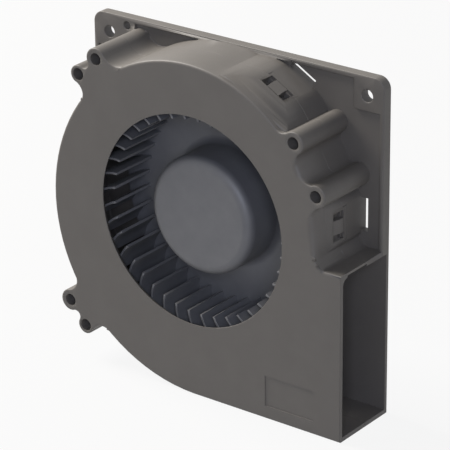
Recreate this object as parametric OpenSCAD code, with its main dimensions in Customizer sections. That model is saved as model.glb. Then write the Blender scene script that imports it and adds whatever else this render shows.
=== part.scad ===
// Centrifugal blower: snail-shell housing in two snapped halves, drum wheel with forward-curved
// blades, and a brushless outer-rotor motor inside the wheel's hub.
// +X is the outlet side, +Y runs from the inlet face to the mounting face, +Z is up.
// The origin is the middle of the square frame's lower edge, at half of the blower's thickness.

/* [Frame] */
// Width and height of the square frame
frame_w = 120; // [118:0.5:124]
// Thickness of the blower from the inlet face to the mounting face
frame_t = 28; // [27:0.5:32]
// Thickness of the mounting plate around the scroll
plate_t = 4; // [3.5:0.1:5]
// Radius of the mounting plate's corners
plate_corner_r = 4; // [2:0.5:5]
// Width of the raised rim along the mounting plate's edges
plate_rim_w = 1.7; // [1.2:0.1:2.5]
// Depth of the field inside that rim
plate_field_d = 1; // [0.5:0.1:1.5]
// Side of the square pad around each corner hole
corner_pad_w = 12; // [11:0.5:14]
// Width of the upper left corner's pad
long_pad_w = 18; // [16:0.5:20]
// Distance of the corner holes from the frame's edges
corner_hole_inset = 6.7; // [6:0.1:7.5]
// Diameter of the corner holes and of the screw holes through the bosses
screw_hole_d = 4.3; // [4:0.1:4.6]
// Diameter of the small hole beside the upper left corner hole
small_hole_d = 2.8; // [2:0.1:3.2]

/* [Scroll] */
// Growth of the scroll's radius over one full turn
scroll_growth = 16.8; // [14:0.2:18]
// Half of the difference between the scroll's long and short radius
scroll_oval = 0.9; // [0:0.1:1.5]
// Direction of the scroll's long radius
scroll_oval_dir = 58; // [50:1:70]
// Gap between the scroll's top and the frame's upper edge
scroll_top_gap = 0.2; // [0.1:0.1:1]
// Thickness of the scroll's side wall
wall_t = 1.6; // [1.4:0.1:2.2]
// Thickness of the inlet face
cover_t = 1.6; // [1.4:0.1:2]
// Thickness of the floor inside the scroll
floor_t = 1.6; // [1.4:0.1:2]
// Depth of the front cover, from the inlet face to the seam
cover_depth = 14; // [12:0.5:15]
// Height of the lip that centres the cover in the rear housing
lip_h = 1; // [0.6:0.1:1.4]
// Thickness of that lip
lip_t = 0.7; // [0.5:0.1:0.8]
// Clearance round that lip
lip_gap = 0.1; // [0.05:0.05:0.15]
// Outer height of the outlet duct
outlet_h = 60.3; // [56:0.5:62]
// Radius of the hollow corner between the scroll and the outlet duct
tongue_fillet_r = 4; // [2:0.5:5]
// Thickness of the duct's upper wall at its very end, in front of the seam
outlet_edge_t = 0.9; // [0.8:0.1:1.4]
// Radius of the duct's inner corner below that wall
duct_corner_r = 2.5; // [1:0.5:3]
// Diameter of the round inlet
inlet_d = 75; // [73:0.5:77]
// Width of the ring that stiffens the inlet's edge inside
inlet_ring_w = 2; // [1:0.1:3]
// Height of that ring
inlet_ring_h = 1; // [0.5:0.1:1.2]
// Width of the sunk name panel
panel_w = 19.7; // [16:0.1:22]
// Height of the name panel
panel_h = 11.1; // [8:0.1:13]
// Distance of the name panel from the outlet end
panel_from_outlet = 10.6; // [8:0.1:13]
// Height of the name panel above the base
panel_lift = 5; // [4:0.5:8]
// Depth of the name panel
panel_d = 0.3; // [0.2:0.1:0.5]

/* [Screw bosses] */
// Outer radius of the large screw bosses
boss_r = 3.9; // [3.6:0.1:4.3]
// Outer radius of the small screw bosses
small_boss_r = 3.2; // [3:0.1:3.4]
// Radius of the hollow curve between the upper left bosses and the scroll's top
web_hollow_r = 6.5; // [5:0.5:8]
// Radius of the hollow curve between the two bosses of a pair
pair_hollow_r = 2; // [1.8:0.1:3]
// Distance of the upper left boss pair outside the scroll
boss_out_upper_left = 6.3; // [5.5:0.1:7]
// Distance of the lower left boss pair outside the scroll
boss_out_lower_left = 7; // [6:0.1:7.5]
// Distance of the upper right bosses outside the scroll
boss_out_upper_right = 2.7; // [2:0.1:3.5]

/* [Snap catches] */
// Width of the window in a catch's tab
catch_w = 10; // [9:0.2:11]
// Depth of that window in front of the seam
catch_h = 5; // [4:0.2:7]
// Distance of the upper and lower catch pads' flat faces outside the scroll
catch_proud = 2.2; // [1.8:0.1:3]
// The same distance of the left catch pad
left_catch_proud = 1.6; // [1.5:0.1:2]
// Thickness of a catch's tab behind the seam
tab_t = 0.75; // [0.6:0.05:0.8]
// Reach of that tab behind the seam
tab_reach = 2.4; // [2:0.1:3]
// Distance of a deep hook's inner face below its pad's face
deep_hook = 2.6; // [1.5:0.1:2.8]
// The same distance of a flat hook, where the scroll's wall lies just under the pad's face
flat_hook = 1.5; // [1.3:0.1:1.5]
// Clearance beside a hook
hook_side_gap = 2.5; // [1.4:0.1:3]
// Clearance under a hook and before its end
hook_gap = 0.4; // [0.3:0.1:0.6]
// Height of a hook above the pad's face
hook_h = 0.5; // [0.3:0.1:0.9]
// Gap between a hook's back and the tab's bar
hook_back_gap = 0.8; // [0.5:0.1:1.2]
// Width of the slots in the mounting plate behind the catches
catch_slot_w = 2.6; // [2.4:0.1:3.4]

/* [Impeller] */
// Diameter of the wheel
wheel_d = 89; // [86:0.5:90]
// Radial depth of the blades
blade_depth = 9.6; // [8:0.1:10.5]
// Number of blades
blade_count = 41; // [31:1:47]
// Thickness of a blade
blade_t = 0.9; // [0.7:0.1:1.1]
// Lean of the blades at their inner edge, away from the radius
blade_lean_in = 13; // [5:1:20]
// Lean of the blades at their outer edge, in the sense of rotation
blade_lean_out = 48; // [35:1:55]
// Gap between the inlet ring and the wheel
wheel_front_gap = 0.6; // [0.5:0.1:1]
// Gap between the wheel and the scroll's floor
wheel_back_gap = 2.4; // [2:0.1:3]
// Thickness of the wheel's back disc
disc_t = 1.5; // [1.2:0.1:2]
// Radial width of the ring that joins the blades' front ends
rim_w = 1.6; // [1.2:0.1:2]
// Height of that ring
rim_h = 1.5; // [1.2:0.1:2]
// Diameter of the hub
hub_d = 42; // [41:0.5:43]
// Thickness of the hub's side wall
hub_wall_t = 1.5; // [1.3:0.1:1.7]
// Thickness of the hub's cap
hub_cap_t = 1.8; // [1.4:0.1:2.2]
// Distance of the hub's cap behind the inlet face
hub_setback = 4.9; // [4:0.1:5.5]
// Radius of the hub's shoulder
hub_shoulder_r = 3.5; // [2:0.5:4]
// Radius of the flare between the hub and the back disc
hub_flare_r = 3; // [1:0.5:4]

/* [Motor] */
// Diameter of the shaft
shaft_d = 3; // [2.9:0.1:3]
// Thickness of the rotor yoke
yoke_t = 1.1; // [0.9:0.1:1.3]
// Radial thickness of the magnet ring
magnet_t = 1.7; // [1.5:0.1:1.9]
// Air gap between the magnet ring and the stator
air_gap = 0.35; // [0.3:0.05:0.5]
// Height of the stator's stack of laminations
stack_h = 9; // [7:0.5:9.5]
// Width of a stator pole's neck
neck_w = 4.4; // [4:0.1:5]
// Thickness of the stator's insulators
insulator_t = 0.8; // [0.6:0.1:1]
// Thickness of the insulators' lining beside the necks
lining_t = 0.5; // [0.4:0.1:0.6]
// Thickness of the winding round a neck
coil_t = 1.3; // [1:0.1:1.5]
// Width of the winding beside a neck
coil_w = 1.8; // [1.4:0.1:2]
// Thickness of the circuit board
board_t = 1; // [0.8:0.1:1.2]
// Diameter of the circuit board
board_d = 35; // [33:0.5:36]
// Distance of the circuit board from the floor
board_lift = 1.6; // [1.4:0.1:2]
// Outer diameter of the bearing tube
tube_d = 11; // [10.6:0.1:11.4]
// Height of the collar that holds the bearing tube
collar_h = 1.2; // [0.8:0.1:1.3]
// Thickness of that collar
collar_t = 1; // [0.8:0.1:1.2]
// Diameter of the brass bush in the hub
bush_d = 6.4; // [6:0.1:6.8]
// Height of that bush
bush_h = 2.3; // [2.1:0.1:2.5]
// Length of the preload spring
spring_h = 1.5; // [1.3:0.1:1.8]
// Diameter of the preload spring's wire
spring_wire_d = 0.35; // [0.3:0.05:0.4]

/* [Ball bearings] */
// Outer diameter of a bearing
bearing_d = 8; // [7.8:0.1:8.2]
// Width of a bearing
bearing_w = 4; // [3.8:0.1:4]
// Diameter of a ball
ball_d = 1.588; // [1.5:0.004:1.6]
// Number of balls
ball_count = 7; // [6:1:7]
// Thickness of a bearing's shields
shield_t = 0.25; // [0.2:0.05:0.3]

/* [Back side] */
// Diameter of the round label
label_d = 40; // [36:0.5:44]
// Thickness of the label
label_t = 0.2; // [0.1:0.05:0.25]
// Depth of the label's recess
label_recess = 0.3; // [0.3:0.05:0.4]
// Width of the channel for the motor leads
lead_channel_w = 4; // [3:0.5:5]
// Depth of that channel
lead_channel_d = 0.9; // [0.8:0.1:1]

/* [Hidden] */

round_fn = 96;
small_fn = 48;
cut = 1;
press_gap = 0.02;
slip_gap = 0.05;

housing_color = "#5f5d5a";
wheel_color = "#5e5e60";
steel_color = "#b9bcc0";
brass_color = "#c2a14f";
magnet_color = "#2d2c2e";
lamination_color = "#7d8084";
nylon_color = "#d9d6cc";
copper_color = "#b3652d";
board_color = "#2f6b45";
chip_color = "#26262a";
tantalum_color = "#c98a2b";
label_color = "#c9cacb";

// Depths along Y
y_front = -frame_t / 2;
y_back = frame_t / 2;
y_seam = y_front + cover_depth;
y_plate = y_back - plate_t;
y_field = y_plate + plate_field_d;
y_floor = y_back - floor_t;
y_cover_in = y_front + cover_t;
y_wheel_front = y_cover_in + inlet_ring_h + wheel_front_gap;
y_disc_back = y_floor - wheel_back_gap;
y_disc_front = y_disc_back - disc_t;
y_hub_front = y_front + hub_setback;
y_hub_in = y_hub_front + hub_cap_t;
y_yoke_in = y_hub_in + slip_gap + yoke_t;
yoke_skirt_back = 0.5;
y_yoke_end = y_disc_front - yoke_skirt_back;
y_board_back = y_floor - board_lift;
y_board_front = y_board_back - board_t;
y_stack_mid = (y_yoke_in + y_board_front) / 2;
y_stack_front = y_stack_mid - stack_h / 2;
y_stack_back = y_stack_mid + stack_h / 2;
winding_h = stack_h + 2 * (insulator_t + coil_t);
y_bush_back = y_hub_in + slip_gap + bush_h;
y_front_bearing = y_bush_back + spring_h;
tube_overlap = 0.5;
y_tube_front = y_front_bearing - tube_overlap;
clip_t = 0.5;
clip_gap = 0.1;
washer_t = 0.3;
shaft_end = 0.7;
shaft_floor_gap = 0.8;
y_shaft_end = y_floor - shaft_floor_gap;
y_clip = y_shaft_end - shaft_end - clip_t;
y_washer = y_clip - clip_gap - washer_t;
y_rear_bearing = y_washer - bearing_w;

// Scroll, tangent to the frame's left and lower edges and just under the upper one
function oval(a) = scroll_oval * cos(2 * (a - scroll_oval_dir));
scroll_r0 = (frame_w - scroll_top_gap - scroll_growth) / 2 - oval(90);
function scroll_r(a) = scroll_r0 + scroll_growth * a / 360 + oval(a);
scroll_reach_left = max([for (a = [165:195]) -scroll_r(a) * cos(a)]);
function to_hundredth(v) = round(v * 100) / 100;
axis_x = to_hundredth(scroll_reach_left - frame_w / 2);
axis_z = to_hundredth(scroll_r(270));
scroll_start = -7;
scroll_end = 270;
scroll_steps = 72;
function polar(r, a) = [axis_x + r * cos(a), axis_z + r * sin(a)];

// Screw bosses: angle, distance outside the scroll, outer radius, and the radii of the hollow
// curves that lead to the scroll on the side of smaller and of larger angles
BOSSES = [
    [128.5, boss_out_upper_left, boss_r, web_hollow_r, 0],
    [138, boss_out_upper_left, small_boss_r, 0, 4],
    [42, boss_out_upper_right, boss_r, 3, 4],
    [22.9, boss_out_upper_right, boss_r, 3, 3],
    [218.8, boss_out_lower_left, boss_r, 4, 0],
    [227.3, boss_out_lower_left, small_boss_r, 0, 5],
];
// Pairs of bosses that share one web
BOSS_PAIRS = [[0, 1], [4, 5]];
hollow_steps = 8;
hollow_sink = 0.05;
hollow_turn = 7;
web_overlap = 1.5;
function boss_pos(b) = polar(scroll_r(b[0]) + b[1], b[0]);

// Snap catches: direction of the pad's face, shift along the pad, distance of the pad's face
// from the axis, length of the slot behind, width of each of the pad's sloping sides, drop of
// these sides, depth of the hook's inner face. The first is on top, the second on the outlet's
// side; the others close the left and the lower side.
upper_catch_shift = 1.2;
side_catch_shift = 7.4;
side_catch_lift = 0.2;
slot_len = 10.4;
long_slot_len = 11.8;
CATCHES = [
    [60, upper_catch_shift, scroll_r(60) + catch_proud, slot_len, 13, 6.2, deep_hook],
    [0, side_catch_shift, scroll_r(9) + side_catch_lift, long_slot_len, 4, 3, flat_hook],
    [153, 0, scroll_r(153) + left_catch_proud, slot_len, 13, 5.5, flat_hook],
    [243, 0, scroll_r(243) + catch_proud, slot_len, 13, 6.2, deep_hook],
];
pad_margin = 1.3;
pad_w = catch_w + 2 * pad_margin;
pad_front = 1.6;
pad_rise = 2.7;
pad_run = 7;
pad_steps = 8;
pad_blend = 0.8;
tab_inset = 0.3;
tab_gap = 0.1;
hook_end_sink = 0.25;
hook_w = 2;

// Impeller
wheel_r = wheel_d / 2;
blade_in_r = wheel_r - blade_depth;
hub_r = hub_d / 2;
hub_in_r = hub_r - hub_wall_t;
blade_steps = 6;
blade_end_gap = 0.2;
hub_fn = 24;

// Motor
yoke_r = hub_in_r - press_gap;
magnet_r = yoke_r - yoke_t - press_gap;
stator_r = magnet_r - magnet_t - air_gap;
tube_r = tube_d / 2;
shaft_r = shaft_d / 2;
bush_r = bush_d / 2;
pole_count = 4;
pole_head_t = 1.9;
pole_head_half = 37;
core_ring_t = 2.4;
core_in_r = tube_r + slip_gap;
core_r = core_in_r + core_ring_t;
head_in_r = stator_r - pole_head_t;
coil_end_gap = 0.3;
insulator_edge = 0.3;
insulator_wall_t = 0.6;
insulator_wall_h = 1;
board_in_gap = 0.3;
board_in_r = tube_r + collar_t + board_in_gap;
board_web = 0.3;
post_r = 1;
pin_r = 0.35;
pin_out = 0.6;
post_place_r = board_in_r + board_web + pin_r + slip_gap;
clip_groove_d = 0.35;
clip_seat_d = 0.3;
clip_ring_w = 0.9;
clip_opening = 1.2;
spring_gap = 0.15;

// Parts on the circuit board: distance from the axis, radial width, length, height
HALL_SENSOR = [15.2, 1.6, 2.9, 1];
DRIVER_CHIP = [12.5, 3.9, 4.9, 0.9];
CAPACITOR = [12.5, 2.8, 3.5, 1];
RESISTOR = [13, 0.8, 1.6, 0.45];
RESISTOR_DIRECTIONS = [20, 70, 110, 160];

// Bearings
bearing_r = bearing_d / 2;
ball_r = ball_d / 2;
ball_gap = 0.045;
groove_r = ball_r + ball_gap;
pitch_r = (shaft_r + bearing_r) / 2;
ring_land = 0.5;
inner_ring_r = pitch_r - ring_land;
outer_ring_in_r = pitch_r + ring_land;
shield_seat_d = 0.35;
shield_seat_r = outer_ring_in_r + shield_seat_d;
shield_gap = 0.2;
shield_in_r = inner_ring_r + shield_gap;
tube_shoulder = 0.25;
cage_half_t = 0.3;
cage_half_w = 1.15;

// Outlet
duct_end_l = 6;

// Back side
label_edge = 0.3;
lead_hole_r = 1.9;
lead_place_r = 14;
lead_dir = 205;

// A flat outline in X and Z, raised from depth y0 to depth y1
module slab(y0, y1) {
    translate([0, y1, 0])
        rotate([90, 0, 0])
            linear_extrude(y1 - y0)
                children();
}

// A profile of radius and depth, turned round the fan's axis
module turned(fn = round_fn) {
    translate([axis_x, 0, axis_z])
        rotate([-90, 0, 0])
            rotate_extrude($fn = fn)
                children();
}

// A plain ring round the fan's axis
module ring(r_in, r_out, y0, y1, fn = round_fn) {
    turned(fn)
        translate([r_in, y0])
            square([r_out - r_in, y1 - y0]);
}

// A box that faces direction a: from radius r0 to r1, from t0 to t1 along the tangent
module facing_box(a, r0, r1, t0, t1, y0, y1) {
    translate([axis_x, 0, axis_z])
        rotate([0, -a, 0])
            translate([r0, y0, t0])
                cube([r1 - r0, y1 - y0, t1 - t0]);
}

// Flow space of the scroll and the duct, drawn in by d from the outer walls
module flow_outline(d, past_end = 0) {
    polygon([
        for (i = [0:scroll_steps])
            let (a = scroll_start + (scroll_end - scroll_start) * i / scroll_steps)
                polar(scroll_r(a) - d, a)
    ]);
    translate([axis_x, d])
        square([frame_w / 2 - axis_x + past_end, outlet_h - 2 * d]);
}

// Hollow corner between the scroll and the top of the duct
module tongue_fillet() {
    corner = [axis_x + scroll_r(0) - wall_t / 2, outlet_h - wall_t / 2];
    difference() {
        translate(corner)
            square(tongue_fillet_r + wall_t / 2);
        translate([corner[0] + wall_t / 2 + tongue_fillet_r, outlet_h + tongue_fillet_r])
            circle(tongue_fillet_r, $fn = small_fn);
    }
}

// Point at distance r from p and distance t from q, on one side of the line from p to q
function meet(p, r, q, t, side) =
    let (d = norm(q - p), a = (d * d + r * r - t * t) / (2 * d), u = (q - p) / d)
        p + a * u + side * sqrt(r * r - a * a) * [-u[1], u[0]];

function heading(v) = atan2(v[1], v[0]);

// Hollow curve of radius r round c, from the side of p to the side of q
function hollow(c, r, p, q) =
    let (a = heading(p - c), turn = (heading(q - c) - a + 540) % 360 - 180)
        [
            for (i = [0:hollow_steps])
                let (b = a + turn * i / hollow_steps)
                    c + r * [cos(b), sin(b)]
        ];

// Webs that carry the screw bosses on the scroll's wall, with hollow sides
module boss_webs() {
    centre = [axis_x, axis_z];
    for (b = BOSSES, side = [-1, 1]) {
        r = side < 0 ? b[3] : b[4];
        p = boss_pos(b);
        wall_r = scroll_r(b[0] + side * hollow_turn) - hollow_sink;
        if (r > 0)
            polygon(concat(
                [p],
                hollow(meet(centre, wall_r + r, p, b[2] - hollow_sink + r, side), r, p, centre),
                [polar(wall_r - wall_t / 2, b[0] - side * web_overlap)]
            ));
    }
    for (pair = BOSS_PAIRS) {
        b0 = BOSSES[pair[0]];
        b1 = BOSSES[pair[1]];
        p0 = boss_pos(b0);
        p1 = boss_pos(b1);
        r0 = b0[2] - hollow_sink + pair_hollow_r;
        r1 = b1[2] - hollow_sink + pair_hollow_r;
        polygon(concat(
            [p0], hollow(meet(p0, r0, p1, r1, -1), pair_hollow_r, p0, p1), [p1],
            [polar(scroll_r(b1[0]) - wall_t / 2, b1[0]), polar(scroll_r(b0[0]) - wall_t / 2, b0[0])]
        ));
    }
}

module boss_circles() {
    for (b = BOSSES)
        translate(boss_pos(b))
            circle(b[2], $fn = small_fn);
}

// Everything that stands between the inlet face and the mounting plate, seen from the front
module body_outline() {
    flow_outline(0);
    tongue_fillet();
    boss_webs();
    boss_circles();
}

// Holes through the bosses from depth y0 to depth y1
module boss_holes(y0, y1) {
    for (b = BOSSES)
        translate([boss_pos(b)[0], y1, boss_pos(b)[1]])
            rotate([90, 0, 0])
                cylinder(d = screw_hole_d, h = y1 - y0, $fn = small_fn);
}

// Holes of the mounting plate: place and diameter of the corner holes at the upper left, upper
// right and lower left, and of the small hole beside the first one
small_hole_place = [14.5, 3];
PLATE_HOLES = [
    [corner_hole_inset - frame_w / 2, frame_w - corner_hole_inset, screw_hole_d],
    [frame_w / 2 - corner_hole_inset, frame_w - corner_hole_inset, screw_hole_d],
    [corner_hole_inset - frame_w / 2, corner_hole_inset, screw_hole_d],
    [small_hole_place[0] - frame_w / 2, frame_w - small_hole_place[1], small_hole_d],
];

module rounded_square(w, r) {
    translate([-w / 2 + r, 0])
        square([w - 2 * r, w]);
    translate([-w / 2, r])
        square([w, w - 2 * r]);
    for (x = [-w / 2 + r, w / 2 - r], z = [r, w - r])
        translate([x, z])
            circle(r, $fn = small_fn);
}

// Share of a rise that is done at a share s of its run, level at both ends
function eased(s) = s * s * (3 - 2 * s);

// Flat pad that carries a snap catch, between depths y0 and y1. Its sides fall away softly.
module catch_pad(c, y0, y1) {
    foot_r = norm([c[2] - c[5], pad_w / 2 + c[4]]);
    foot_a = atan2(pad_w / 2 + c[4], c[2] - c[5]);
    flat_r = norm([c[2], pad_w / 2]);
    flat_a = atan2(pad_w / 2, c[2]);
    function side_point(i, side) =
        let (
            s = i / pad_steps,
            r = flat_r + (foot_r - flat_r) * eased(pad_blend * s) / eased(pad_blend),
            a = flat_a + (foot_a - flat_a) * s
        ) [r * cos(a), side * r * sin(a)];
    slab(y0, y1)
        translate([axis_x, axis_z])
            rotate(c[0])
                translate([0, c[1]])
                    polygon(concat(
                        [for (i = [pad_steps:-1:0]) side_point(i, -1)],
                        [for (i = [0:pad_steps]) side_point(i, 1)]
                    ));
}

// A profile of radius and depth at a catch, as wide as twice half along the tangent
module catch_profile(c, half, points) {
    translate([axis_x, 0, axis_z])
        rotate([0, -c[0], 0])
            translate([0, 0, c[1] - half])
                linear_extrude(2 * half)
                    polygon(points);
}

// The cover's pad rises gently from the scroll's wall
module cover_pad(c) {
    y_start = y_front + pad_front;
    intersection() {
        catch_pad(c, y_start, y_seam);
        catch_profile(c, pad_w / 2 + c[4] + cut, concat(
            [[0, y_start - cut], [c[2] - pad_rise, y_start - cut]],
            [for (i = [0:pad_steps])
                let (s = i / pad_steps)
                    [c[2] - pad_rise * (1 - eased(s)), y_start + pad_run * s]],
            [[c[2] + cut, y_start + pad_run + cut], [c[2] + cut, y_seam + cut], [0, y_seam + cut]]
        ));
    }
}

// Tab of the cover that lies in the housing's recess behind the seam
module catch_tab(c, gap = 0) {
    half = pad_w / 2 - tab_inset + gap;
    facing_box(
        c[0], c[2] - tab_t - gap, gap > 0 ? c[2] + cut : c[2],
        c[1] - half, c[1] + half, y_seam - cut, y_seam + tab_reach + gap
    );
}

module catch_window(c) {
    facing_box(
        c[0], c[2] - c[6] - hook_gap / 2, c[2] + cut,
        c[1] - catch_w / 2, c[1] + catch_w / 2, y_seam - catch_h, y_seam + hook_back_gap
    );
}

// Hook of the housing that stands in the tab's window, on a thin tongue
module catch_hook(c) {
    y_end = y_seam - catch_h + hook_gap;
    r_in = c[2] - c[6];
    r_tongue = c[2] - tab_t - 2 * tab_gap;
    catch_profile(c, catch_w / 2 - hook_side_gap, [
        [r_in, y_end], [c[2] - hook_end_sink, y_end],
        [c[2] + hook_h, y_seam - hook_w], [c[2] + hook_h, y_seam],
        [r_tongue, y_seam], [r_tongue, y_seam + cut], [r_in, y_seam + cut]
    ]);
}

module catch_slot(c) {
    facing_box(
        c[0], c[2], c[2] + catch_slot_w,
        c[1] - c[3] / 2, c[1] + c[3] / 2, y_plate - cut, y_back + cut
    );
}

// The plate is left open where the outlet duct's own floor takes its place
module mounting_plate() {
    difference() {
        plate_relief();
        translate([axis_x, y_plate - cut, -cut])
            cube([frame_w, plate_t + 2 * cut, outlet_h + cut]);
    }
}

module plate_relief() {
    slab(y_field, y_back)
        rounded_square(frame_w, plate_corner_r);
    difference() {
        slab(y_plate, y_back)
            rounded_square(frame_w, plate_corner_r);
        slab(y_plate - cut, y_back + cut)
            translate([0, plate_rim_w])
                rounded_square(frame_w - 2 * plate_rim_w, plate_corner_r - plate_rim_w);
    }
    intersection() {
        slab(y_plate, y_back)
            rounded_square(frame_w, plate_corner_r);
        slab(y_plate, y_back) {
            for (x = [-1, 1], z = [corner_pad_w / 2, frame_w - corner_pad_w / 2])
                translate([x * (frame_w - corner_pad_w) / 2, z])
                    square(corner_pad_w, center = true);
            translate([-frame_w / 2, frame_w - corner_pad_w])
                square([long_pad_w, corner_pad_w]);
        }
    }
}

module rear_housing() {
    color(housing_color)
        difference() {
            union() {
                difference() {
                    union() {
                        mounting_plate();
                        slab(y_seam, y_back)
                            body_outline();
                        for (c = CATCHES)
                            catch_pad(c, y_seam, y_field + cut / 2);
                    }
                    for (c = CATCHES)
                        catch_tab(c, tab_gap);
                }
                for (c = CATCHES)
                    catch_hook(c);
            }
            difference() {
                slab(y_seam - cut, y_floor)
                    flow_outline(wall_t, cut);
                ring(tube_r + press_gap, tube_r + collar_t, y_floor - collar_h, y_floor + cut);
            }
            slab(y_seam - cut, y_seam + lip_h + lip_gap)
                flow_outline(wall_t - lip_t - lip_gap, cut);
            for (c = CATCHES)
                catch_slot(c);
            boss_holes(y_seam - cut, y_back + cut);
            for (h = PLATE_HOLES)
                translate([h[0], y_back + cut, h[1]])
                    rotate([90, 0, 0])
                        cylinder(d = h[2], h = plate_t + 2 * cut, $fn = small_fn);
            ring(0, label_d / 2, y_back - label_recess, y_back + cut);
            lead_exit();
        }
}

// Hole under the circuit board and the channel that takes the motor leads to the left edge
module lead_exit() {
    p = polar(lead_place_r, lead_dir);
    translate([p[0], y_back + cut, p[1]])
        rotate([90, 0, 0])
            cylinder(r = lead_hole_r, h = floor_t + 2 * cut, $fn = small_fn);
    translate([-frame_w / 2 - cut, y_back - lead_channel_d, p[1] - lead_channel_w / 2])
        cube([p[0] + frame_w / 2 + cut, lead_channel_d + cut, lead_channel_w]);
}

// The duct's upper wall is thinner at the very end, and its inner corner behind the inlet face
// is rounded
module duct_end() {
    z_corner = outlet_h - wall_t - duct_corner_r;
    x_start = frame_w / 2 - duct_end_l;
    difference() {
        translate([x_start, y_cover_in - cut, z_corner])
            cube([duct_end_l, duct_corner_r + cut, duct_corner_r + wall_t / 2]);
        translate([x_start - cut, y_cover_in + duct_corner_r, z_corner])
            rotate([0, 90, 0])
                cylinder(r = duct_corner_r, h = duct_end_l + 2 * cut, $fn = small_fn);
    }
}

module duct_edge_cut() {
    translate([frame_w / 2 - duct_end_l / 2, y_cover_in + duct_corner_r, outlet_h - wall_t - cut])
        cube([duct_end_l, frame_t, cut + wall_t - outlet_edge_t]);
}

module front_cover() {
    color(housing_color)
        difference() {
            union() {
                difference() {
                    union() {
                        slab(y_front, y_seam)
                            body_outline();
                        for (c = CATCHES) {
                            cover_pad(c);
                            catch_tab(c);
                        }
                        slab(y_seam - cut, y_seam + lip_h)
                            flow_outline(wall_t - lip_t);
                    }
                    slab(y_cover_in, y_seam + lip_h + cut)
                        flow_outline(wall_t, cut);
                }
                duct_end();
                ring(
                    inlet_d / 2, inlet_d / 2 + inlet_ring_w,
                    y_front + cover_t / 2, y_cover_in + inlet_ring_h
                );
            }
            ring(0, inlet_d / 2, y_front - cut, y_seam);
            for (c = CATCHES)
                catch_window(c);
            duct_edge_cut();
            boss_holes(y_front - cut, y_seam + cut);
            translate([frame_w / 2 - panel_from_outlet - panel_w, y_front - cut, panel_lift])
                cube([panel_w, panel_d + cut, panel_h]);
        }
}

// One blade's outline: it leans from the radius more and more towards its outer edge
module blade_outline() {
    function lean(i) = blade_lean_in + (blade_lean_out - blade_lean_in) * i / blade_steps;
    step_r = (blade_depth - blade_end_gap) / blade_steps;
    function turn_to(i) =
        i == 0 ? 0
            : turn_to(i - 1) + step_r * tan(lean(i - 0.5)) / (blade_in_r + step_r * i) * 180 / PI;
    function spot(i, side) =
        let (r = blade_in_r + step_r * i, a = turn_to(i), b = a + lean(i))
            [r * cos(a) - side * sin(b), r * sin(a) + side * cos(b)];
    polygon(concat(
        [for (i = [0:blade_steps]) spot(i, -blade_t / 2)],
        [for (i = [blade_steps:-1:0]) spot(i, blade_t / 2)]
    ));
}

module impeller() {
    color(wheel_color) {
        turned()
            difference() {
                union() {
                    translate([0, y_hub_front])
                        square([hub_r - hub_shoulder_r, hub_cap_t]);
                    translate([hub_in_r - cut, y_hub_front + hub_shoulder_r])
                        square([hub_wall_t + cut, y_disc_back - y_hub_front - hub_shoulder_r]);
                    intersection() {
                        translate([hub_r - hub_shoulder_r, y_hub_front + hub_shoulder_r])
                            circle(hub_shoulder_r, $fn = hub_fn);
                        translate([hub_r - hub_shoulder_r, y_hub_front])
                            square([hub_shoulder_r, hub_shoulder_r]);
                    }
                    translate([hub_in_r, y_disc_front])
                        square([wheel_r - hub_in_r, disc_t]);
                    difference() {
                        translate([hub_r - cut, y_disc_front - hub_flare_r])
                            square([hub_flare_r + cut, hub_flare_r + cut / 2]);
                        translate([hub_r + hub_flare_r, y_disc_front - hub_flare_r])
                            circle(hub_flare_r, $fn = hub_fn);
                    }
                }
                translate([-cut, y_hub_in])
                    square([hub_in_r + cut, frame_t]);
            }
        ring(wheel_r - rim_w, wheel_r, y_wheel_front, y_wheel_front + rim_h);
        translate([axis_x, 0, axis_z])
            for (i = [0:blade_count - 1])
                rotate([0, -360 * i / blade_count, 0])
                    slab(y_wheel_front, y_disc_front + disc_t / 2)
                        blade_outline();
    }
}

module rotor_yoke() {
    color(steel_color)
        turned() {
            translate([bush_r + press_gap, y_yoke_in - yoke_t])
                square([yoke_r - bush_r - press_gap, yoke_t]);
            translate([yoke_r - yoke_t, y_yoke_in - yoke_t])
                square([yoke_t, y_yoke_end - y_yoke_in + yoke_t]);
        }
}

module magnet_ring() {
    color(magnet_color)
        ring(magnet_r - magnet_t, magnet_r, y_yoke_in + slip_gap, y_yoke_end - slip_gap);
}

module shaft_bush() {
    color(brass_color)
        ring(shaft_r + press_gap, bush_r, y_hub_in + slip_gap, y_bush_back, small_fn);
}

module shaft() {
    color(steel_color)
        difference() {
            ring(0, shaft_r, y_hub_in + slip_gap, y_shaft_end, small_fn);
            ring(
                shaft_r - clip_groove_d, shaft_r + cut,
                y_clip - slip_gap, y_clip + clip_t + slip_gap, small_fn
            );
        }
}

// Snap ring that rests in the shaft's groove, open on one side
module retaining_clip() {
    clip_r = shaft_r + clip_ring_w;
    color(steel_color)
        difference() {
            ring(shaft_r - clip_seat_d, clip_r, y_clip, y_clip + clip_t, small_fn);
            facing_box(
                90, 0, clip_r + cut, -clip_opening / 2, clip_opening / 2,
                y_clip - cut, y_clip + clip_t + cut
            );
        }
}

module thrust_washer() {
    color(steel_color)
        ring(shaft_r + slip_gap, inner_ring_r, y_washer, y_washer + washer_t, small_fn);
}

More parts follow.
